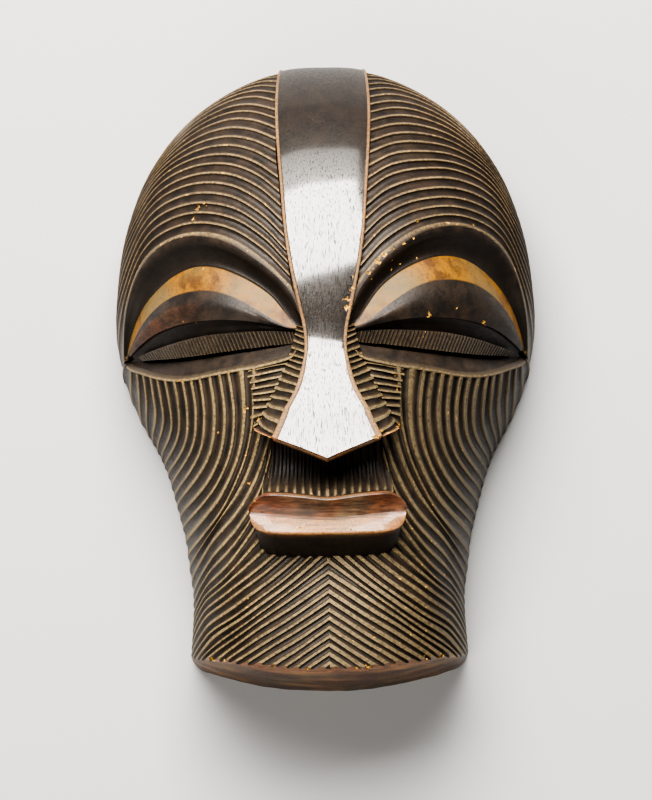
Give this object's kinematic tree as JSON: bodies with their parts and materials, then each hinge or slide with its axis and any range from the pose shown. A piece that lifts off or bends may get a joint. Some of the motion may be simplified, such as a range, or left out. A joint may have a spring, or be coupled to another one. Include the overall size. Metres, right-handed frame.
{
  "type": "kifwebe mask",
  "caption": "Carved wooden face mask, hollow behind, with slit eyes, a raised band from crown to nose, a block mouth and fine grooves all over. It lies face up on its flat rim.",
  "frame": {"origin": "middle of the mask's footprint, on the plane that its flat back rim rests on", "axes": "+Z out of the face, +Y towards the crown, -Y towards the chin, +X towards the viewer's right"},
  "size_m": [0.2398, 0.3568, 0.141],
  "materials": {
    "mask": "dark brown to near-black waxed patina, worn reddish and tan on the high edges, ochre on the upper eyelids"
  },
  "bodies": {
    "root": {"mask": "mask"}
  },
  "joints": []
}
